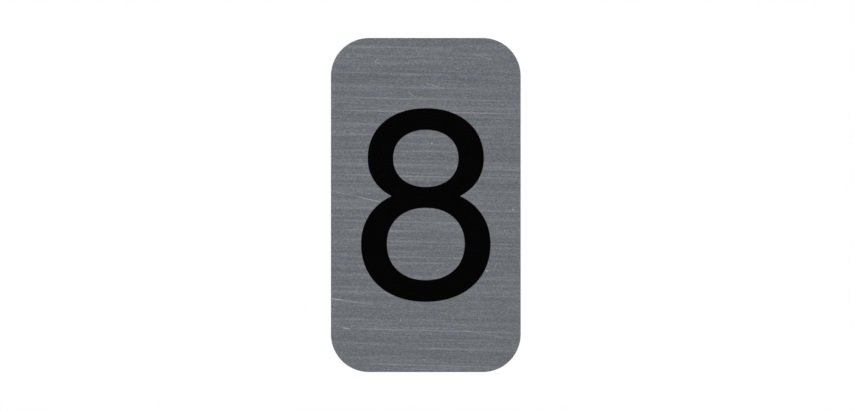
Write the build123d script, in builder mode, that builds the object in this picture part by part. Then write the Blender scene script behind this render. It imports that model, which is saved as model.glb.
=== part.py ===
# Adhesive number plaque: a brushed aluminium plate with a printed figure 8, held to a door,
# letterbox or wall by a foam pad, whose liner is still on.
#
# Millimetres. +Z is up and the figure looks towards -Y. The origin is the middle of the liner's
# outer face, so everything lies between the wall at y = 0 and the viewer, layer upon layer:
# liner, pad, plate, ink.

from build123d import *
import os

# Plate: one blank of sheet, its front edge rounded over where it was punched
plate_width = 25.0
plate_height = 44.0
plate_corner = 5.0
plate_thickness = 1.5
front_edge_radius = 0.1

# Foam pad and liner: cut together, a margin inside the plate's edge
pad_thickness = 0.8
pad_margin = 1.0
liner_thickness = 0.1

# Figure: two bowls that run into each other at the waist
ink_thickness = 0.05
figure_height = 25.5
upper_bowl_width = 15.3
lower_bowl_width = 17.05
waist_height = 1.0  # of the waist's middle, above the middle of the figure

# Figure: strokes between the outer curves and the counters
upper_side_stroke = 3.35
lower_side_stroke = 3.4
end_stroke = 2.85
waist_stroke = 2.75

# Figure: how far each bowl's outer curve would run on past the waist's middle
upper_bowl_reach = 0.8
lower_bowl_reach = 1.1
fullness = 0.6  # of the curves: 0.55 is an ellipse, and more is squarer

# Where each layer begins, counted from the wall towards the viewer
pad_back = liner_thickness
plate_back = pad_back + pad_thickness
plate_front = plate_back + plate_thickness


def bowl(width, top, bottom, widest):
    """An egg-shaped outline, upright on the middle line, with its full width at one height."""
    side = width / 2
    with BuildSketch() as shape:
        with BuildLine():
            for end in (top, bottom):
                shoulder = widest + fullness * (end - widest)
                Bezier((0, end), (fullness * side, end), (side, shoulder), (side, widest))
            mirror(about=Plane.YZ)
        make_face()
    return shape.sketch


# Plate
with BuildPart() as plate:
    with BuildSketch(Plane.XZ.offset(plate_back)):
        RectangleRounded(plate_width, plate_height, plate_corner)
    extrude(amount=plate_thickness)
    front_face = plate.faces().sort_by(Axis.Y)[0]
    fillet(front_face.edges(), radius=front_edge_radius)

# Printed figure: the counters' heights follow from the strokes, and each bowl is widest level
# with the middle of its counter
upper_counter_top = figure_height / 2 - end_stroke
upper_counter_bottom = waist_height + waist_stroke / 2
upper_widest = (upper_counter_top + upper_counter_bottom) / 2
lower_counter_top = waist_height - waist_stroke / 2
lower_counter_bottom = -figure_height / 2 + end_stroke
lower_widest = (lower_counter_top + lower_counter_bottom) / 2

with BuildPart() as number_8:
    with BuildSketch(Plane.XZ.offset(plate_front)):
        add(bowl(upper_bowl_width, figure_height / 2, waist_height - upper_bowl_reach, upper_widest))
        add(bowl(lower_bowl_width, waist_height + lower_bowl_reach, -figure_height / 2, lower_widest))
        add(
            bowl(
                upper_bowl_width - 2 * upper_side_stroke,
                upper_counter_top,
                upper_counter_bottom,
                upper_widest,
            ),
            mode=Mode.SUBTRACT,
        )
        add(
            bowl(
                lower_bowl_width - 2 * lower_side_stroke,
                lower_counter_top,
                lower_counter_bottom,
                lower_widest,
            ),
            mode=Mode.SUBTRACT,
        )
    extrude(amount=ink_thickness)

# Foam pad
pad_width = plate_width - 2 * pad_margin
pad_height = plate_height - 2 * pad_margin
pad_corner = plate_corner - pad_margin

with BuildPart() as adhesive_pad:
    with BuildSketch(Plane.XZ.offset(pad_back)):
        RectangleRounded(pad_width, pad_height, pad_corner)
    extrude(amount=pad_thickness)

# Liner
with BuildPart() as release_liner:
    with BuildSketch(Plane.XZ):
        RectangleRounded(pad_width, pad_height, pad_corner)
    extrude(amount=liner_thickness)

plate.part.label = "plate"
number_8.part.label = "number_8"
adhesive_pad.part.label = "adhesive_pad"
release_liner.part.label = "release_liner"

os.makedirs("parts", exist_ok=True)
export_step(plate.part, "parts/plate.step")
export_step(number_8.part, "parts/number_8.step")
export_step(adhesive_pad.part, "parts/adhesive_pad.step")
export_step(release_liner.part, "parts/release_liner.step")
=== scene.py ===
"""Adhesive number plaque

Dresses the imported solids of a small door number: a brushed aluminium plate, the figure printed on
it in black, the foam pad behind it and the paper that covers the pad until the plaque is stuck on.
The figure looks towards -Y and +Z is up. Lengths are in metres, and those of the surface patterns
and marks in millimetres.
"""

import math
from typing import NamedTuple

import bmesh
import bpy
from bpy.props import FloatProperty, FloatVectorProperty, PointerProperty
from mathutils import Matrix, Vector, noise


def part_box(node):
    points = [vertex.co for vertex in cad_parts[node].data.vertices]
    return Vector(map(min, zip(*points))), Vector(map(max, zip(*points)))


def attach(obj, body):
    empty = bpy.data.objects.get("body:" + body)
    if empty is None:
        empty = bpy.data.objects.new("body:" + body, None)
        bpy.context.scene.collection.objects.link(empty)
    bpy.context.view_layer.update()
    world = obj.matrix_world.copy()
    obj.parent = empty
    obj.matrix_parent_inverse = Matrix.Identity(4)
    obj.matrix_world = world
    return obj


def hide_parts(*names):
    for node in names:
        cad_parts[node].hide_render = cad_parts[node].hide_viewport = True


bl_info = {
    "name": "Adhesive number plaque",
    "version": (1, 0, 0),
    "blender": (4, 5, 0),
    "location": "3D View > Sidebar > Plaque",
    "description": "Makes the finishes of a small brushed door number and the studio round it",
    "category": "Object",
}

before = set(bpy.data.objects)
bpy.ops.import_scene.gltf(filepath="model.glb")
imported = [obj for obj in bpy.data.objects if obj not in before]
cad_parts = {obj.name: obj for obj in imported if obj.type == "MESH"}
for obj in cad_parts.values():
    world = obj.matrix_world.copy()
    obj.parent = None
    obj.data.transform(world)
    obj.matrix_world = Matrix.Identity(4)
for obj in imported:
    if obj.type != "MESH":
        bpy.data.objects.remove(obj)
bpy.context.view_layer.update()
plate_low, plate_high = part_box("plate")
pad_low, pad_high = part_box("adhesive_pad")
liner_low, liner_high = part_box("release_liner")

MM = 0.001
TOUCHING = 1e-3 * MM  # a point nearer than this to a side lies on it
QUARTER_TURN = math.pi / 2
BODY = "root"
BRUSH_SLOPE = 1.3  # degrees by which the brush lines fall towards the viewer's right


# Sizes that the solids give


def corner_radius(node):
    """The radius of a plate's corners: how far below its top its straight sides end."""
    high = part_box(node)[1]
    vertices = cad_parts[node].data.vertices
    side_top = max(v.co.z for v in vertices if high.x - v.co.x < TOUCHING)
    return high.z - side_top


def front_edge_radius(node):
    """The radius of a plate's front edge: how far its flat front ends inside its side."""
    low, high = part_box(node)
    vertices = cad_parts[node].data.vertices
    flat_end = max(v.co.x for v in vertices if v.co.y - low.y < TOUCHING)
    return high.x - flat_end


# Sizes and colours that a user would change


class PlateSizes(bpy.types.PropertyGroup):
    """The plate's edges."""

    front_edge: FloatProperty(
        name="Front edge radius",
        description="Radius to which the front edge is rounded over",
        default=front_edge_radius("plate"),
        min=0.01 * MM,
        unit="LENGTH",
    )
    back_edge: FloatProperty(
        name="Back edge break",
        description="How far the sharp back edge is broken",
        default=0.03 * MM,
        min=0.01 * MM,
        unit="LENGTH",
    )
    spacing: FloatProperty(
        name="Outline spacing",
        description="Distance between the points round the plate's outline",
        default=0.25 * MM,
        min=0.05 * MM,
        unit="LENGTH",
    )


class PadSizes(bpy.types.PropertyGroup):
    """The foam pad's cut edge."""

    cell: FloatProperty(
        name="Foam cell",
        description="Size of one closed cell of the foam",
        default=0.24 * MM,
        min=0.05 * MM,
        unit="LENGTH",
    )
    cell_depth: FloatProperty(
        name="Cell depth",
        description="How deep a cell that the knife opened reaches into the pad's side",
        default=0.05 * MM,
        min=0.001 * MM,
        unit="LENGTH",
    )
    spacing: FloatProperty(
        name="Side spacing",
        description="Distance between the points of the pad's side",
        default=0.055 * MM,
        min=0.03 * MM,
        unit="LENGTH",
    )


class BrushedFinish(bpy.types.PropertyGroup):
    """The look of the plate's metal."""

    metal: FloatVectorProperty(
        name="Metal",
        description="Colour of the brushed face",
        subtype="COLOR",
        size=3,
        min=0.0,
        max=1.0,
        default=(0.1625, 0.172, 0.188),
    )
    lines: FloatVectorProperty(
        name="Lines",
        description="Colour that a brush line adds to the face, which is less blue than the metal",
        subtype="COLOR",
        size=3,
        min=0.0,
        max=1.0,
        default=(0.165, 0.172, 0.185),
    )
    cut_metal: FloatVectorProperty(
        name="Cut metal",
        description="Colour of the punched sides and of the back, which are brighter than the face",
        subtype="COLOR",
        size=3,
        min=0.0,
        max=1.0,
        default=(0.24, 0.25, 0.27),
    )
    slope: FloatProperty(
        name="Brush slope",
        description="How steeply the brush lines fall towards the viewer's right",
        default=math.radians(BRUSH_SLOPE),
        subtype="ANGLE",
    )
    roughness: FloatProperty(
        name="Roughness",
        description="Roughness of the brushed face, before its lines vary it",
        default=0.36,
        min=0.0,
        max=1.0,
    )
    depth: FloatProperty(
        name="Brush depth",
        description="Depth of the brush lines",
        default=0.0015 * MM,
        min=0.0,
        unit="LENGTH",
    )


class LayerColours(bpy.types.PropertyGroup):
    """The colours of the ink, the foam and the paper."""

    ink: FloatVectorProperty(
        name="Ink",
        description="Colour of the printed figure",
        subtype="COLOR",
        size=3,
        min=0.0,
        max=1.0,
        default=(0.0007, 0.0007, 0.0007),
    )
    foam: FloatVectorProperty(
        name="Foam",
        description="Colour of the pad",
        subtype="COLOR",
        size=3,
        min=0.0,
        max=1.0,
        default=(0.72, 0.72, 0.70),
    )
    paper: FloatVectorProperty(
        name="Paper",
        description="Colour of the liner",
        subtype="COLOR",
        size=3,
        min=0.0,
        max=1.0,
        default=(0.72, 0.68, 0.55),
    )


class Studio(bpy.types.PropertyGroup):
    """The camera, the even light and the floor."""

    lens: FloatProperty(
        name="Lens",
        description="Focal length of the camera, in millimetres",
        default=100.0,
        min=10.0,
    )
    picture_width: FloatProperty(
        name="Picture width",
        description="What the picture takes in from side to side, at the plate's face",
        default=112.43 * MM,
        unit="LENGTH",
    )
    aside: FloatProperty(
        name="Aside",
        description="How far the camera stands to the right of the plaque's middle",
        default=0.158 * MM,
        unit="LENGTH",
    )
    floor_drop: FloatProperty(
        name="Floor drop",
        description="How far the floor lies below the plaque's lower edge",
        default=24 * MM,
        unit="LENGTH",
    )
    daylight: FloatProperty(
        name="Even light",
        description="Strength of the light that comes from all round",
        default=0.62,
        min=0.0,
    )


# Shader nodes


class ShaderTree:
    """Adds nodes to a node tree. What a node is given may be a number, a colour, a vector or
    another node's output, which is then linked."""

    def __init__(self, owner):
        owner.use_nodes = True
        self.tree = owner.node_tree
        self.tree.nodes.clear()

    def node(self, kind, given=None, **settings):
        """A node, with what its sockets are given, by name or number, and its settings."""
        made = self.tree.nodes.new(kind)
        for name, value in settings.items():
            setattr(made, name, value)
        for name, value in (given or {}).items():
            if isinstance(value, bpy.types.NodeSocket):
                self.tree.links.new(value, made.inputs[name])
            else:
                made.inputs[name].default_value = value
        return made

    def maths(self, operation, *values, clamp=False):
        """The result of an operation on numbers."""
        given = dict(enumerate(values))
        return self.node("ShaderNodeMath", given, operation=operation, use_clamp=clamp).outputs[0]

    def vectors(self, operation, *values):
        """The result of an operation on vectors or colours."""
        given = dict(enumerate(values))
        return self.node("ShaderNodeVectorMath", given, operation=operation).outputs[0]

    def scaled(self, vector, factor):
        """A vector or a colour times a number."""
        given = {0: vector, "Scale": factor}
        return self.node("ShaderNodeVectorMath", given, operation="SCALE").outputs[0]

    def varied(self, base, *patterns):
        """A base to which each (pattern, share) pair adds that share of its pattern."""
        for pattern, share in patterns:
            base = self.maths("MULTIPLY_ADD", pattern, share, base)
        return base

    def total(self, values):
        """The sum of several outputs."""
        values = list(values)
        while len(values) > 1:
            pairs = [values[i : i + 2] for i in range(0, len(values), 2)]
            values = [self.maths("ADD", *pair) if len(pair) == 2 else pair[0] for pair in pairs]
        return values[0]

    def ramp(self, value, start, end, low=0.0, high=1.0):
        """A smooth rise from low to high while a value goes from start to end."""
        given = {"Value": value, "From Min": start, "From Max": end, "To Min": low, "To Max": high}
        return self.node("ShaderNodeMapRange", given, interpolation_type="SMOOTHSTEP").outputs[0]

    def place_mm(self):
        """The place on the piece, in millimetres from the plaque's origin."""
        place = self.node("ShaderNodeTexCoord").outputs["Object"]
        return self.scaled(place, 1 / MM)

    def turned(self, place, angle):
        """A place turned about the axis that runs through the plaque from front to back."""
        given = {"Vector": place, "Angle": angle}
        return self.node("ShaderNodeVectorRotate", given, rotation_type="Y_AXIS").outputs[0]

    def measured(self, place, way, start, unit):
        """How many units a place lies from the start, measured along a way."""
        way = way / unit
        given = {0: place, 1: way}
        from_zero = self.node("ShaderNodeVectorMath", given, operation="DOT_PRODUCT")
        return self.maths("SUBTRACT", from_zero.outputs["Value"], start.dot(way))

    def grain(self, place, size, seed, detail=2.0, rough=0.5):
        """Smooth noise about zero, whose features have the given sizes along X, Y and Z."""
        middle = 0.5
        moved = self.node(
            "ShaderNodeMapping",
            {"Vector": place, "Location": (seed, seed, seed), "Scale": [1 / s for s in size]},
        ).outputs[0]
        made = self.node(
            "ShaderNodeTexNoise",
            {"Vector": moved, "Scale": 1.0, "Detail": detail, "Roughness": rough},
        )
        return self.maths("SUBTRACT", made.outputs["Fac"], middle)

    def relief(self, height, depth):
        """The normal of a surface whose height follows a pattern, to the given depth."""
        given = {"Height": height, "Distance": depth, "Strength": 1.0}
        return self.node("ShaderNodeBump", given).outputs[0]

    def principled(self, **given):
        """The Principled shader that ends a material, with its sockets by name."""
        named = {name.replace("_", " "): value for name, value in given.items()}
        shader = self.node("ShaderNodeBsdfPrincipled", named)
        self.node("ShaderNodeOutputMaterial", {"Surface": shader.outputs[0]})


def new_material(name):
    """A material and the tree that its nodes go into."""
    made = bpy.data.materials.new(name)
    return made, ShaderTree(made)


# Brush lines, and the marks that stand out from them on the plate's face


class Layer(NamedTuple):
    """One layer of brush lines: their spacing and length, how much they change the tone, how much
    more the light ones do than the dark ones, by how many degrees they turn from the brush's
    slope, and the seed and detail of their noise."""

    pitch: float
    length: float
    contrast: float
    bright: float
    turn: float
    seed: float
    detail: float


BRUSH_LAYERS = (
    Layer(pitch=0.62, length=60.0, contrast=0.12, bright=0.0, turn=0.0, seed=3.1, detail=0.0),
    Layer(pitch=0.25, length=40.0, contrast=0.61, bright=1.3, turn=0.2, seed=11.7, detail=4.0),
    Layer(pitch=0.20, length=5.0, contrast=0.79, bright=1.3, turn=-0.6, seed=23.9, detail=4.0),
    Layer(pitch=0.08, length=0.45, contrast=1.13, bright=0.9, turn=1.4, seed=37.3, detail=4.0),
    Layer(pitch=0.10, length=0.21, contrast=1.76, bright=0.4, turn=-0.8, seed=41.7, detail=4.0),
)
NOISE_SPREAD = 0.0115  # mean square of the layers' noise
DARKEST = -0.20  # tone at which the dark lines level off
DARK_SOFTNESS = 0.12  # how gently they do so


class Mark(NamedTuple):
    """A mark on the plate's face: where its middle lies, its length, its fall towards the viewer's
    right in degrees, how much it changes the tone, and its width."""

    x: float
    z: float
    length: float
    slope: float
    strength: float
    width: float


# Single long strokes of the brush
LINE_WIDTH = 0.30
LONG_STROKES = (
    Mark(-4.0, 20.75, 16.0, BRUSH_SLOPE, 0.28, LINE_WIDTH),
    Mark(-1.5, 15.5, 23.0, BRUSH_SLOPE, 0.19, LINE_WIDTH),
    Mark(0.0, 13.95, 26.0, BRUSH_SLOPE, 0.31, LINE_WIDTH),
    Mark(0.0, 12.25, 26.0, BRUSH_SLOPE, 0.53, LINE_WIDTH),
    Mark(0.0, 10.45, 26.0, BRUSH_SLOPE, 0.33, LINE_WIDTH),
    Mark(-1.0, 9.15, 24.0, BRUSH_SLOPE, 0.33, LINE_WIDTH),
    Mark(-3.0, 7.1, 18.0, BRUSH_SLOPE, 0.32, LINE_WIDTH),
    Mark(-4.0, 5.35, 18.0, BRUSH_SLOPE, 0.25, LINE_WIDTH),
    Mark(0.0, 3.75, 26.0, BRUSH_SLOPE, 0.55, LINE_WIDTH),
    Mark(0.0, -0.6, 26.0, BRUSH_SLOPE, 0.22, LINE_WIDTH),
    Mark(-2.0, -2.25, 21.0, BRUSH_SLOPE, 0.40, LINE_WIDTH),
    Mark(-5.5, -3.35, 13.0, BRUSH_SLOPE, 0.44, LINE_WIDTH),
    Mark(0.0, -4.85, 26.0, 1.9, 0.28, LINE_WIDTH),
    Mark(-2.0, -6.9, 20.0, BRUSH_SLOPE, 0.18, LINE_WIDTH),
    Mark(-7.5, -11.5, 10.0, BRUSH_SLOPE, 0.13, LINE_WIDTH),
    Mark(1.0, -16.55, 23.0, 1.5, 0.44, LINE_WIDTH),
    Mark(-6.5, -18.3, 12.0, 2.6, 0.19, LINE_WIDTH),
    Mark(6.0, -19.05, 14.0, 1.7, 0.30, LINE_WIDTH),
    Mark(1.0, -21.15, 18.0, BRUSH_SLOPE, 0.33, LINE_WIDTH),
)

# Bands from side to side in which the face is a little lighter or darker
BAND_LENGTH = 60.0
BROAD_BANDS = (
    Mark(0.0, 21.6, BAND_LENGTH, BRUSH_SLOPE, -0.04, 1.6),
    Mark(0.0, 19.2, BAND_LENGTH, BRUSH_SLOPE, 0.02, 1.6),
    Mark(0.0, 16.8, BAND_LENGTH, BRUSH_SLOPE, -0.08, 2.6),
    Mark(0.0, 15.4, BAND_LENGTH, BRUSH_SLOPE, 0.06, 1.4),
    Mark(0.0, 11.5, BAND_LENGTH, BRUSH_SLOPE, -0.05, 1.8),
    Mark(0.0, 10.4, BAND_LENGTH, BRUSH_SLOPE, 0.04, 1.4),
    Mark(0.0, 6.4, BAND_LENGTH, BRUSH_SLOPE, -0.05, 1.6),
    Mark(0.0, 5.3, BAND_LENGTH, BRUSH_SLOPE, 0.07, 1.4),
    Mark(0.0, 3.0, BAND_LENGTH, BRUSH_SLOPE, -0.09, 1.5),
    Mark(0.0, 1.9, BAND_LENGTH, BRUSH_SLOPE, 0.04, 1.6),
    Mark(0.0, -6.1, BAND_LENGTH, BRUSH_SLOPE, -0.06, 1.8),
    Mark(0.0, -11.5, BAND_LENGTH, BRUSH_SLOPE, 0.06, 1.8),
    Mark(0.0, -20.3, BAND_LENGTH, BRUSH_SLOPE, -0.05, 1.4),
    Mark(0.0, -21.2, BAND_LENGTH, BRUSH_SLOPE, 0.06, 1.4),
)

# Slanting scratches, which are cut into the face
SCRATCHES = (
    Mark(-10.8, 1.5, 3.2, 12.3, 0.62, 0.16),
    Mark(-7.5, 0.75, 4.0, 13.5, 0.95, 0.18),
    Mark(-10.5, -12.6, 3.8, 8.3, 0.88, 0.18),
    Mark(-11.8, -12.4, 1.3, 7.0, 0.90, 0.22),
    Mark(-8.0, -13.0, 2.2, 7.0, 0.48, 0.16),
    Mark(-10.45, -16.25, 1.1, 13.0, 1.20, 0.20),
    Mark(-11.1, -16.05, 1.6, 16.0, 0.40, 0.16),
    Mark(7.7, -17.0, 6.3, 10.2, 0.44, 0.16),
    Mark(0.8, 15.8, 2.2, 18.0, 0.75, 0.16),
    Mark(-1.8, 14.5, 1.4, 35.0, 0.62, 0.16),
    Mark(7.9, 19.4, 1.9, 20.0, 0.66, 0.16),
    Mark(-4.8, -11.8, 1.7, 20.0, 0.50, 0.16),
)

# Light specks, of which the first two make a small hook
SPECKS = (
    Mark(-6.53, 19.05, 0.65, -45.0, 0.80, 0.22),
    Mark(-6.35, 18.7, 0.9, 12.0, 0.70, 0.22),
    Mark(-2.1, 14.72, 0.4, 38.0, 0.50, 0.22),
    Mark(8.4, 19.2, 0.3, 20.0, 0.38, 0.25),
    Mark(4.2, 18.0, 0.3, 60.0, 0.64, 0.20),
    Mark(0.8, 8.15, 0.3, 90.0, 1.05, 0.25),
    Mark(11.5, -0.6, 0.4, 30.0, 1.20, 0.24),
    Mark(10.4, -3.35, 0.25, 0.0, 0.90, 0.20),
    Mark(1.6, -8.6, 0.3, 0.0, 0.90, 0.22),
    Mark(8.0, -8.65, 0.35, 0.0, 1.30, 0.24),
    Mark(-1.0, -5.6, 0.6, 50.0, 0.16, 0.22),
    Mark(7.0, -14.95, 0.25, 0.0, 0.78, 0.22),
    Mark(-3.3, -15.1, 0.45, 90.0, 1.15, 0.20),
    Mark(-0.2, -20.4, 0.4, 30.0, 0.60, 0.24),
)


def brush_tone(tree, place, slope):
    """How much lighter or darker than its colour the brushed metal is, about zero. Light lines
    stand out, and dark ones stay near the colour."""
    layers = []
    for layer in BRUSH_LAYERS:
        along = tree.turned(place, -slope - math.radians(layer.turn))
        size = (layer.length, 1.0, layer.pitch)
        lines = tree.grain(along, size, layer.seed, layer.detail)
        lift = tree.varied(1.0, (lines, layer.bright))
        lifted = tree.maths("MULTIPLY", lines, lift)
        layers.append(tree.maths("MULTIPLY", lifted, layer.contrast))
    raised = NOISE_SPREAD * sum(layer.contrast * layer.bright for layer in BRUSH_LAYERS)
    level = tree.maths("SUBTRACT", tree.total(layers), raised)
    return tree.maths("SMOOTH_MAX", level, DARKEST, DARK_SOFTNESS)


def add_mark(tree, tone, place, mark):
    """The tone with a mark laid over it. The mark is full along its middle line, fades to its
    sides, and fades to nothing over the last third of the way to each end."""
    end_fade = 3.0
    slope = math.radians(mark.slope)
    middle = Vector((mark.x, 0.0, mark.z))
    lengthwise = Vector((math.cos(slope), 0.0, -math.sin(slope)))
    crosswise = Vector((math.sin(slope), 0.0, math.cos(slope)))
    along = tree.measured(place, lengthwise, middle, mark.length / 2)
    across = tree.measured(place, crosswise, middle, mark.width / 2)
    to_end = tree.maths("ABSOLUTE", along)
    to_side = tree.maths("ABSOLUTE", across)
    within = tree.maths("MULTIPLY_ADD", to_end, -end_fade, end_fade, clamp=True)
    beside = tree.maths("SUBTRACT", 1.0, to_side, clamp=True)
    return tree.varied(tone, (tree.maths("MULTIPLY", within, beside), mark.strength))


def fine_lines(tree, place, slope):
    """A factor about 1 that breaks a mark up into the fine lines that it is made of."""
    size = (2.5, 1.0, 0.05)
    contrast = 2.5
    lines = tree.grain(tree.turned(place, -slope), size, seed=83.0, detail=3.0)
    return tree.varied(1.0, (lines, contrast))


def blue_patches(tree, place):
    """A colour factor that is 1 nearly everywhere and a little bluer in a few soft patches."""
    size = (2.6, 2.6, 2.0)
    rare = 0.12
    bluer = (-0.20, -0.10, 0.30)
    plain = (1.0, 1.0, 1.0)
    patches = tree.grain(place, size, seed=53.0, detail=1.0)
    risen = tree.maths("SUBTRACT", patches, rare, clamp=True)
    return tree.vectors("MULTIPLY_ADD", risen, bluer, plain)


# Finishes


def brushed_face(finish):
    """The plate's front: fine lines ground from side to side, with single strokes, scratches and
    specks that stand out from them."""
    made, tree = new_material("brushed_face")
    place = tree.place_mm()
    lines = brush_tone(tree, place, finish.slope)
    relief = lines
    for scratch in SCRATCHES:
        relief = add_mark(tree, relief, place, scratch)
    tone = relief
    for band in BROAD_BANDS:
        tone = add_mark(tree, tone, place, band)
    marks = 0.0
    for mark in LONG_STROKES + SPECKS:
        marks = add_mark(tree, marks, place, mark)
    tone = tree.varied(tone, (marks, fine_lines(tree, place, finish.slope)))
    metal = tree.vectors("MULTIPLY", blue_patches(tree, place), tuple(finish.metal))
    tree.principled(
        Base_Color=tree.vectors("MULTIPLY_ADD", tone, tuple(finish.lines), metal),
        Metallic=1.0,
        Roughness=tree.varied(finish.roughness, (lines, 0.3)),
        Anisotropic=0.6,
        Anisotropic_Rotation=0.25,
        Tangent=tree.node("ShaderNodeTangent", direction_type="RADIAL", axis="Z").outputs[0],
        Normal=tree.relief(relief, finish.depth),
    )
    return made


def cut_edge(finish):
    """The plate's sides, as the punch leaves them: burnished near the front, torn and duller
    towards the back, with fine lines across the sheet's thickness all the way."""
    line_size = (0.11, 2.5, 0.11)
    tear_size = (0.09, 0.16, 0.09)
    tear_height = 1.6
    burnished_share = 0.45
    raggedness = 0.8
    change_width = 0.12
    relief_depth = 0.006 * MM
    made, tree = new_material("cut_edge")
    place = tree.place_mm()
    lines = tree.grain(place, line_size, seed=5.3)
    torn = tree.grain(place, tear_size, seed=61.0, detail=3.0)
    depth = tree.node("ShaderNodeSeparateXYZ", {0: place}).outputs["Y"]
    ragged = tree.varied(depth, (lines, raggedness))
    torn_from = (plate_low.y + burnished_share * (plate_high.y - plate_low.y)) / MM
    tearing = tree.ramp(ragged, torn_from, torn_from + change_width)
    surface = tree.varied(lines, (tree.maths("MULTIPLY", torn, tearing), tear_height))
    tone = tree.varied(1.04, (surface, 0.55), (tearing, -0.14))
    tree.principled(
        Base_Color=tree.scaled(tuple(finish.cut_metal), tone),
        Metallic=1.0,
        Roughness=tree.varied(0.3, (lines, 0.4), (tearing, 0.16)),
        Normal=tree.relief(surface, relief_depth),
    )
    return made


def mill_back(finish):
    """The plate's back, which keeps the dull skin of the rolled sheet."""
    streak_size = (0.4, 1.0, 9.0)
    made, tree = new_material("mill_back")
    rolled = tree.grain(tree.place_mm(), streak_size, seed=8.8)
    tree.principled(
        Base_Color=tree.scaled(tuple(finish.cut_metal), tree.varied(1.0, (rolled, 0.35))),
        Metallic=1.0,
        Roughness=tree.varied(0.45, (rolled, 0.4)),
    )
    return made


def black_ink(colours, finish):
    """The printed figure: a matt black film through which the brush lines just show as relief."""
    stipple_size = (0.12, 0.12, 0.12)
    share_of_brush_depth = 0.4
    made, tree = new_material("black_ink")
    place = tree.place_mm()
    stipple = tree.grain(place, stipple_size, seed=17.2)
    relief = tree.maths("ADD", brush_tone(tree, place, finish.slope), stipple)
    tree.principled(
        Base_Color=tree.scaled(tuple(colours.ink), tree.varied(1.0, (stipple, 0.6))),
        Roughness=tree.varied(0.55, (relief, 0.25)),
        Specular_IOR_Level=0.012,
        Normal=tree.relief(relief, share_of_brush_depth * finish.depth),
    )
    return made


# The point layer in which a mesh keeps how far its side was moved inwards
CUT_DEPTH = "cut_depth"


def cut_foam(colours, cell_depth):
    """The pad's foam: thin pale walls between the cells that the knife opened. The opened cells
    carry painted shade: the deeper a point lies in one, the darker its colour.
    """
    skin_size = (0.05, 0.05, 0.05)
    skin_depth = 0.01 * MM
    light_reach = 0.4 * MM
    made, tree = new_material("cut_foam")
    cut = tree.node("ShaderNodeAttribute", attribute_name=CUT_DEPTH).outputs["Fac"]
    hollow = tree.maths("MULTIPLY", cut, 1 / cell_depth)
    skin = tree.grain(tree.place_mm(), skin_size, seed=71.0)
    # painted shade: the colour darkens with how deep the point lies in its opened cell
    tone = tree.varied(1.06, (skin, 0.2), (hollow, -0.22))
    tree.principled(
        Base_Color=tree.scaled(tuple(colours.foam), tone),
        Roughness=tree.varied(0.75, (skin, 0.3)),
        Specular_IOR_Level=0.3,
        Subsurface_Weight=0.2,
        Subsurface_Radius=(light_reach, light_reach, light_reach),
        Subsurface_Scale=1.0,
        Normal=tree.relief(skin, skin_depth),
    )
    return made


def liner_paper(colours):
    """The liner: smooth paper with a thin coat, its fibres just showing as cloud and relief."""
    cloud_size = (2.6, 2.6, 2.6)
    fibre_size = (0.9, 0.5, 0.12)
    fibre_turns_and_seeds = ((0.3, 41.0), (1.4, 43.0), (-0.9, 47.0))
    relief_depth = 0.006 * MM
    made, tree = new_material("liner_paper")
    place = tree.place_mm()
    cloud = tree.grain(place, cloud_size, seed=31.0, detail=4.0, rough=0.6)
    fibres = tree.total(
        tree.grain(tree.turned(place, turn), fibre_size, seed)
        for turn, seed in fibre_turns_and_seeds
    )
    tone = tree.varied(1.0, (fibres, 0.16), (cloud, 0.22))
    height = tree.varied(fibres, (cloud, 3.0))
    tree.principled(
        Base_Color=tree.scaled(tuple(colours.paper), tone),
        Roughness=tree.varied(0.42, (fibres, 0.25)),
        Normal=tree.relief(height, relief_depth),
    )
    return made


# Meshes

FAN = 4  # how many points of a row go to one point of the next row inwards


class Ring(NamedTuple):
    """One ring of a slab's profile: how far it lies inside the outline, its y, and the number of
    the finish on the band that ends at it."""

    inset: float
    depth: float
    finish: int


class Outline(NamedTuple):
    """The outline of a slab, at y = 0: four lists of (place, outward direction) pairs, and how
    often the faces over the slab's ends can thin the points out to one in FAN."""

    sides: list
    fans: int


def rounded_outline(low, high, corner, spacing):
    """An upright rectangle with round corners, anticlockwise as the viewer in front sees it. Each
    list holds half a corner, a straight side and half the next corner."""
    widest_spacing = 1 * MM
    fans = max(0, round(math.log(widest_spacing / spacing, FAN)))
    middle = (low + high) / 2
    reach_x = (high.x - low.x) / 2 - corner
    reach_z = (high.z - low.z) / 2 - corner
    around = ((1, -1), (1, 1), (-1, 1), (-1, -1))
    pivots = [Vector((middle.x + sx * reach_x, 0, middle.z + sz * reach_z)) for sx, sz in around]

    def steps(length):
        """How many steps a stretch takes: a number that all the fans divide."""
        return FAN**fans * math.ceil(length / spacing / FAN**fans)

    half_corner = steps(QUARTER_TURN / 2 * corner)
    turns = [QUARTER_TURN / 2 * step / half_corner for step in range(half_corner)]
    sides = []
    for quarter, pivot in enumerate(pivots):
        after = pivots[(quarter + 1) % len(pivots)]
        facing = QUARTER_TURN * quarter
        straight = steps((after - pivot).length)
        spokes = [(pivot, facing - QUARTER_TURN / 2 + turn) for turn in turns]
        spokes += [(pivot.lerp(after, step / straight), facing) for step in range(straight)]
        spokes += [(after, facing + turn) for turn in turns]
        side = []
        for centre, angle in spokes:
            outward = Vector((math.cos(angle), 0, math.sin(angle)))
            side.append((centre + corner * outward, outward))
        sides.append(side)
    return Outline(sides, fans)


def no_dent(place):
    """The dent of a side that is left smooth."""
    return 0.0


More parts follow.
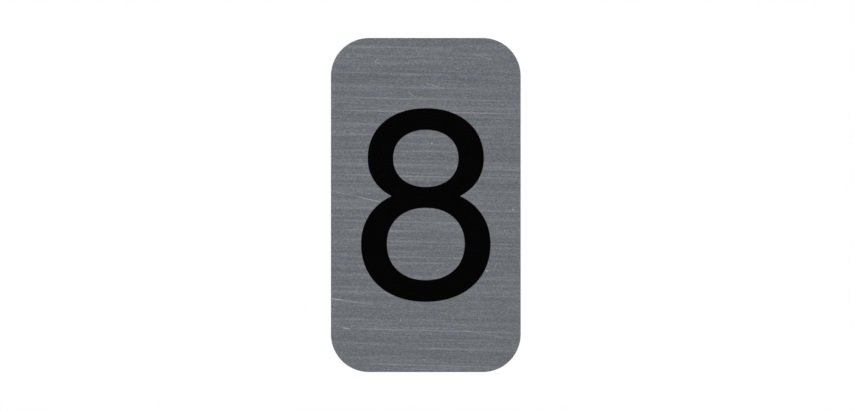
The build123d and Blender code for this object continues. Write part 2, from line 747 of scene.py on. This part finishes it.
def slab(name, outline, rings, finishes, dent=no_dent):
    """A flat piece with a moulded side, as a closed mesh: the outline repeated at each ring, and
    faces over the first and the last. dent(place) says how far a point of the side moves inwards,
    and the mesh keeps it."""
    sharpest_smooth = math.radians(50)
    mesh = bpy.data.meshes.new(name)
    bm = bmesh.new()
    bm.verts.layers.float.new(CUT_DEPTH)
    spokes = [spoke for side in outline.sides for spoke in side]
    grid = [ring_points(bm, spokes, ring, dent) for ring in rings]
    side_faces = []
    for front, back, ring in zip(grid, grid[1:], rings[1:]):
        side_faces += add_faces(bm, faces_between(front, back), ring.finish)
    over_front = cover(bm, outline, grid[0], rings[0])
    over_back = [corners[::-1] for corners in cover(bm, outline, grid[-1], rings[-1])]
    front_faces = add_faces(bm, over_front, rings[0].finish)
    back_faces = add_faces(bm, over_back, rings[-1].finish)
    lay_flat(bm, grid, front_faces, back_faces, side_faces)
    bm.to_mesh(mesh)
    bm.free()
    mesh.set_sharp_from_angle(angle=sharpest_smooth)
    for finish in finishes:
        mesh.materials.append(finish)
    piece = bpy.data.objects.new(name, mesh)
    bpy.context.scene.collection.objects.link(piece)
    return piece


def ring_points(bm, spokes, ring, dent):
    """The points of one ring of a slab."""
    cut_depth = bm.verts.layers.float[CUT_DEPTH]
    row = []
    for place, outward in spokes:
        there = place - outward * ring.inset
        there.y = ring.depth
        depth = dent(there)
        vertex = bm.verts.new(there - outward * depth)
        vertex[cut_depth] = depth
        row.append(vertex)
    return row


def add_faces(bm, faces, finish):
    """Adds smooth faces with a finish. Each is given by its corners, in order."""
    made = [bm.faces.new(corners) for corners in faces]
    for face in made:
        face.material_index = finish
        face.smooth = True
    return made


def faces_between(front, back):
    """The faces between one ring of a slab and the next one towards its back."""
    front_after = front[1:] + front[:1]
    back_after = back[1:] + back[:1]
    return zip(front, back, back_after, front_after)


def cover(bm, outline, row, ring):
    """The faces over one end of a slab, as the viewer in front sees them go round: fans inwards
    from its row of points, then an even grid. It adds the points inside that row."""
    fan_reach = 0.7
    faces = []
    spokes = [spoke for side in outline.sides for spoke in side]
    inset = ring.inset
    for _ in range(outline.fans):
        inset += fan_reach * FAN * (row[1].co - row[0].co).length
        spokes = spokes[::FAN]
        inner = [bm.verts.new(place - outward * inset) for place, outward in spokes]
        for vertex in inner:
            vertex.co.y = ring.depth
        faces += fan_faces(row, inner)
        row = inner
    up, across = (len(outline.sides[side]) // FAN**outline.fans for side in (0, 1))
    right = row[: up + 1]
    top = row[up : up + across + 1]
    left = row[up + across : 2 * up + across + 1][::-1]
    bottom = (row[2 * up + across :] + row[:1])[::-1]
    lines = [bottom]
    for first, last in zip(right[1:-1], left[1:-1]):
        places = [(above.co.x, ring.depth, first.co.z) for above in top[1:-1]]
        lines.append([first, *(bm.verts.new(place) for place in places), last])
    lines.append(top)
    for below, above in zip(lines, lines[1:]):
        faces += zip(below, above, above[1:], below[1:])
    return faces


def fan_faces(outer, inner):
    """The triangles between a row of points and one inside it with one point for FAN of its."""
    half = FAN // 2
    faces = []
    for i, near in enumerate(inner):
        far = inner[(i + 1) % len(inner)]
        stretch = [outer[(FAN * i + step) % len(outer)] for step in range(FAN + 1)]
        faces += [(here, after, near) for here, after in zip(stretch[:half], stretch[1:])]
        faces.append((stretch[half], far, near))
        faces += [(here, after, far) for here, after in zip(stretch[half:], stretch[half + 1 :])]
    return faces


def lay_flat(bm, grid, front_faces, back_faces, side_faces):
    """Unwraps a slab: its front and its back side by side at one scale, and above them its side in
    strips, so that a line across the piece stays level in the map."""
    gap = 1 * MM
    uv = bm.loops.layers.uv.new("OFBake")
    left, bottom = min(v.co.x for v in bm.verts), min(v.co.z for v in bm.verts)
    right, top = max(v.co.x for v in bm.verts), max(v.co.z for v in bm.verts)
    along = lengths_along(grid[0] + grid[0][:1])
    down = lengths_along([row[0] for row in grid])
    map_width = 2 * (right - left) + 3 * gap
    strip_rise = down[-1] + gap
    strips = math.ceil(along[-1] / (map_width - 3 * gap))
    strip_length = along[-1] / strips
    strips_bottom = top - bottom + 2 * gap
    map_size = max(map_width, strips_bottom + strips * strip_rise)
    for face in front_faces:
        for loop in face.loops:
            place = loop.vert.co
            loop[uv].uv = ((place.x - left + gap) / map_size, (place.z - bottom + gap) / map_size)
    for face in back_faces:
        for loop in face.loops:
            place = loop.vert.co
            u = 2 * right - left - place.x + 2 * gap
            loop[uv].uv = (u / map_size, (place.z - bottom + gap) / map_size)
    where = {vertex: (j, i) for j, row in enumerate(grid) for i, vertex in enumerate(row)}
    last = len(grid[0]) - 1
    for face in side_faces:
        columns = [where[vertex][1] for vertex in face.verts]
        wraps = 0 in columns and last in columns
        first = last if wraps else min(columns)
        strip = min(strips - 1, int(along[first] / strip_length))
        for loop in face.loops:
            row, column = where[loop.vert]
            if wraps and column == 0:
                column = last + 1
            u = along[column] - strip * strip_length + gap
            v = strips_bottom + strip * strip_rise + down[row]
            loop[uv].uv = (u / map_size, v / map_size)


def lengths_along(points):
    """How far along a line of points each of them lies."""
    lengths = [0.0]
    for here, after in zip(points, points[1:]):
        lengths.append(lengths[-1] + (after.co - here.co).length)
    return lengths


# Pieces


class PLAQUE_OT_brushed_plate(bpy.types.Operator):
    """Make the brushed plate in the place of its solid"""

    bl_idname = "plaque.brushed_plate"
    bl_label = "Brushed plate"

    def execute(self, context):
        sizes = context.scene.plate_sizes
        finish = context.scene.brushed_finish
        face, side, back = range(3)
        round_steps = 6
        support = 0.05 * MM
        rings = [Ring(sizes.front_edge + support, plate_low.y, face)]
        for step in range(round_steps + 1):
            angle = QUARTER_TURN * step / round_steps
            inset = sizes.front_edge * (1 - math.sin(angle))
            depth = plate_low.y + sizes.front_edge * (1 - math.cos(angle))
            rings.append(Ring(inset, depth, face))
        rings += [
            Ring(0.0, plate_high.y - sizes.back_edge, side),
            Ring(sizes.back_edge, plate_high.y, side),
            Ring(sizes.back_edge + support, plate_high.y, back),
        ]
        outline = rounded_outline(plate_low, plate_high, corner_radius("plate"), sizes.spacing)
        finishes = (brushed_face(finish), cut_edge(finish), mill_back(finish))
        plate = slab("brushed_plate", outline, rings, finishes)
        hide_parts("plate")
        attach(plate, BODY)
        return {"FINISHED"}


class PLAQUE_OT_printed_figure(bpy.types.Operator):
    """Give the printed figure its ink"""

    bl_idname = "plaque.printed_figure"
    bl_label = "Printed figure"

    def execute(self, context):
        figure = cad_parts["number_8"]
        ink = black_ink(context.scene.layer_colours, context.scene.brushed_finish)
        figure.material_slots[0].material = ink
        return {"FINISHED"}


class PLAQUE_OT_foam_pad(bpy.types.Operator):
    """Make the foam pad in the place of its solid"""

    bl_idname = "plaque.foam_pad"
    bl_label = "Foam pad"

    def execute(self, context):
        sizes = context.scene.pad_sizes
        foam = 0
        wall_steepness = 2.0
        thickness = pad_high.y - pad_low.y
        rows = math.ceil(thickness / sizes.spacing)
        rings = [Ring(0.0, pad_low.y + thickness * row / rows, foam) for row in range(rows + 1)]

        def cell_dent(place):
            """How deep the cut cell is at a place: nothing at its wall or at the glued faces."""
            nearest, second = noise.voronoi(place / sizes.cell)[0][:2]
            hollow = min(1.0, wall_steepness * (second - nearest))
            from_face = min(place.y - pad_low.y, pad_high.y - place.y)
            return sizes.cell_depth * hollow * min(1.0, wall_steepness * from_face / sizes.cell)

        outline = rounded_outline(pad_low, pad_high, corner_radius("adhesive_pad"), sizes.spacing)
        finishes = (cut_foam(context.scene.layer_colours, sizes.cell_depth),)
        pad = slab("foam_pad", outline, rings, finishes, cell_dent)
        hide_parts("adhesive_pad")
        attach(pad, BODY)
        return {"FINISHED"}


class PLAQUE_OT_release_liner(bpy.types.Operator):
    """Make the paper liner in the place of its solid"""

    bl_idname = "plaque.release_liner"
    bl_label = "Release liner"

    def execute(self, context):
        paper = 0
        edge = 0.02 * MM
        spacing = 0.25 * MM
        rings = (
            Ring(0.0, liner_low.y, paper),
            Ring(0.0, liner_high.y - edge, paper),
            Ring(edge, liner_high.y, paper),
        )
        outline = rounded_outline(liner_low, liner_high, corner_radius("release_liner"), spacing)
        liner = slab("paper_liner", outline, rings, (liner_paper(context.scene.layer_colours),))
        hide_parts("release_liner")
        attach(liner, BODY)
        return {"FINISHED"}


# Studio

WHITE = (1.0, 1.0, 1.0, 1.0)


class Lamp(NamedTuple):
    """A square lamp: its name, its place, the length of its sides and its power in watts."""

    name: str
    place: tuple
    size: float
    power: float


LAMPS = (
    Lamp("key_lamp", (-0.45, -0.55, 0.60), 0.60, 3.0),
    Lamp("fill_lamp", (0.70, -0.45, 0.15), 0.80, 1.2),
    Lamp("back_lamp", (0.30, 0.70, 0.45), 1.00, 3.0),
)


class PLAQUE_OT_studio(bpy.types.Operator):
    """Make the camera, the lamps, the floor and the white surroundings"""

    bl_idname = "plaque.studio"
    bl_label = "Studio"

    def execute(self, context):
        studio = context.scene.studio
        add_camera(context.scene, studio)
        for lamp in LAMPS:
            add_lamp(context.scene, lamp)
        context.scene.world = white_surroundings(studio.daylight)
        add_floor(context.scene, studio.floor_drop)
        context.scene.view_settings.view_transform = "Standard"
        return {"FINISHED"}


def add_camera(scene, studio):
    """A camera straight in front of the plate, as far off as its lens needs for the picture."""
    nearest_seen = 10 * MM
    camera = bpy.data.objects.new("camera", bpy.data.cameras.new("camera"))
    camera.data.lens = studio.lens
    camera.data.clip_start = nearest_seen
    away = studio.picture_width * studio.lens / camera.data.sensor_width
    camera.location = (studio.aside, plate_low.y - away, 0.0)
    camera.rotation_euler = (QUARTER_TURN, 0.0, 0.0)
    scene.collection.objects.link(camera)
    scene.camera = camera


def add_lamp(scene, lamp):
    """A square soft lamp that faces the plaque's middle."""
    light = bpy.data.lights.new(lamp.name, "AREA")
    light.shape = "SQUARE"
    light.size = lamp.size
    light.energy = lamp.power
    holder = bpy.data.objects.new(lamp.name, light)
    holder.location = lamp.place
    holder.rotation_euler = Vector(lamp.place).to_track_quat("Z", "Y").to_euler()
    scene.collection.objects.link(holder)


def add_floor(scene, drop):
    """A round floor below the plaque."""
    reach = 2.0
    rim_points = 96
    mesh = bpy.data.meshes.new("floor")
    bm = bmesh.new()
    bmesh.ops.create_circle(bm, cap_ends=True, radius=reach, segments=rim_points)
    bm.to_mesh(mesh)
    bm.free()
    floor = bpy.data.objects.new("floor", mesh)
    floor.location.z = plate_low.z - drop
    mesh.materials.append(pale_floor())
    scene.collection.objects.link(floor)


def background_rays(tree):
    """1 for the rays that show the background: the camera's, reflected and transmitted ones."""
    path = tree.node("ShaderNodeLightPath").outputs
    mirrored = tree.maths("MAXIMUM", path["Is Glossy Ray"], path["Is Transmission Ray"])
    return tree.maths("MAXIMUM", path["Is Camera Ray"], mirrored)


def white_surroundings(daylight):
    """The world: white where it is seen, and an even light of the given strength on the object."""
    world = bpy.data.worlds.new("white_surroundings")
    tree = ShaderTree(world)
    strength = tree.varied(daylight, (background_rays(tree), 1.0 - daylight))
    sky = tree.node("ShaderNodeBackground", {"Color": WHITE, "Strength": strength})
    tree.node("ShaderNodeOutputWorld", {"Surface": sky.outputs[0]})
    world.cycles.sampling_method = "NONE"
    return world


def pale_floor():
    """The floor's material: pale and matt under the plaque, where it takes the shadow, lifted to
    the background's white with distance, and clear from below."""
    shaded_reach, white_reach = 0.10, 0.24
    near_lift = 0.35
    pale = (0.8, 0.8, 0.8)
    speckle_size = (6.0, 6.0, 6.0)
    made, tree = new_material("pale_floor")
    place = tree.node("ShaderNodeTexCoord").outputs["Object"]
    away = tree.node("ShaderNodeVectorMath", {0: place}, operation="LENGTH").outputs["Value"]
    lift = tree.ramp(away, shaded_reach, white_reach, near_lift, 1.0)
    speckle = tree.grain(tree.place_mm(), speckle_size, seed=2.0)
    matt_colour = tree.scaled(pale, tree.varied(1.0, (speckle, 0.03)))
    matt = tree.node("ShaderNodeBsdfDiffuse", {"Color": matt_colour}).outputs[0]
    white = tree.node("ShaderNodeEmission", {"Color": WHITE, "Strength": 1.0}).outputs[0]
    lifting = tree.maths("MULTIPLY", background_rays(tree), lift)
    lifted = tree.node("ShaderNodeMixShader", {"Fac": lifting, 1: matt, 2: white}).outputs[0]
    clear = tree.node("ShaderNodeBsdfTransparent").outputs[0]
    below = tree.node("ShaderNodeNewGeometry").outputs["Backfacing"]
    either = tree.node("ShaderNodeMixShader", {"Fac": below, 1: lifted, 2: clear}).outputs[0]
    tree.node("ShaderNodeOutputMaterial", {"Surface": either})
    return made


# Panel and registration


class PLAQUE_PT_panel(bpy.types.Panel):
    """The plaque's steps and sizes"""

    bl_label = "Number plaque"
    bl_idname = "PLAQUE_PT_panel"
    bl_space_type = "VIEW_3D"
    bl_region_type = "UI"
    bl_category = "Plaque"

    def draw(self, context):
        for step in STEPS:
            self.layout.operator(step.bl_idname)
        for name in GROUPS:
            box = self.layout.box()
            box.label(text=name.replace("_", " ").capitalize())
            group = getattr(context.scene, name)
            for prop in group.bl_rna.properties:
                if not prop.is_readonly and prop.identifier != "name":
                    box.prop(group, prop.identifier)


STEPS = (
    PLAQUE_OT_brushed_plate,
    PLAQUE_OT_printed_figure,
    PLAQUE_OT_foam_pad,
    PLAQUE_OT_release_liner,
    PLAQUE_OT_studio,
)
GROUPS = {
    "plate_sizes": PlateSizes,
    "pad_sizes": PadSizes,
    "brushed_finish": BrushedFinish,
    "layer_colours": LayerColours,
    "studio": Studio,
}


def register():
    for group in GROUPS.values():
        bpy.utils.register_class(group)
    for name, group in GROUPS.items():
        setattr(bpy.types.Scene, name, PointerProperty(type=group))
    for step in STEPS:
        bpy.utils.register_class(step)
    bpy.utils.register_class(PLAQUE_PT_panel)


def unregister():
    bpy.utils.unregister_class(PLAQUE_PT_panel)
    for step in reversed(STEPS):
        bpy.utils.unregister_class(step)
    for name, group in reversed(GROUPS.items()):
        delattr(bpy.types.Scene, name)
        bpy.utils.unregister_class(group)


def main():
    register()
    bpy.ops.plaque.brushed_plate()
    bpy.ops.plaque.printed_figure()
    bpy.ops.plaque.foam_pad()
    bpy.ops.plaque.release_liner()
    bpy.ops.plaque.studio()


if __name__ == "__main__":
    main()
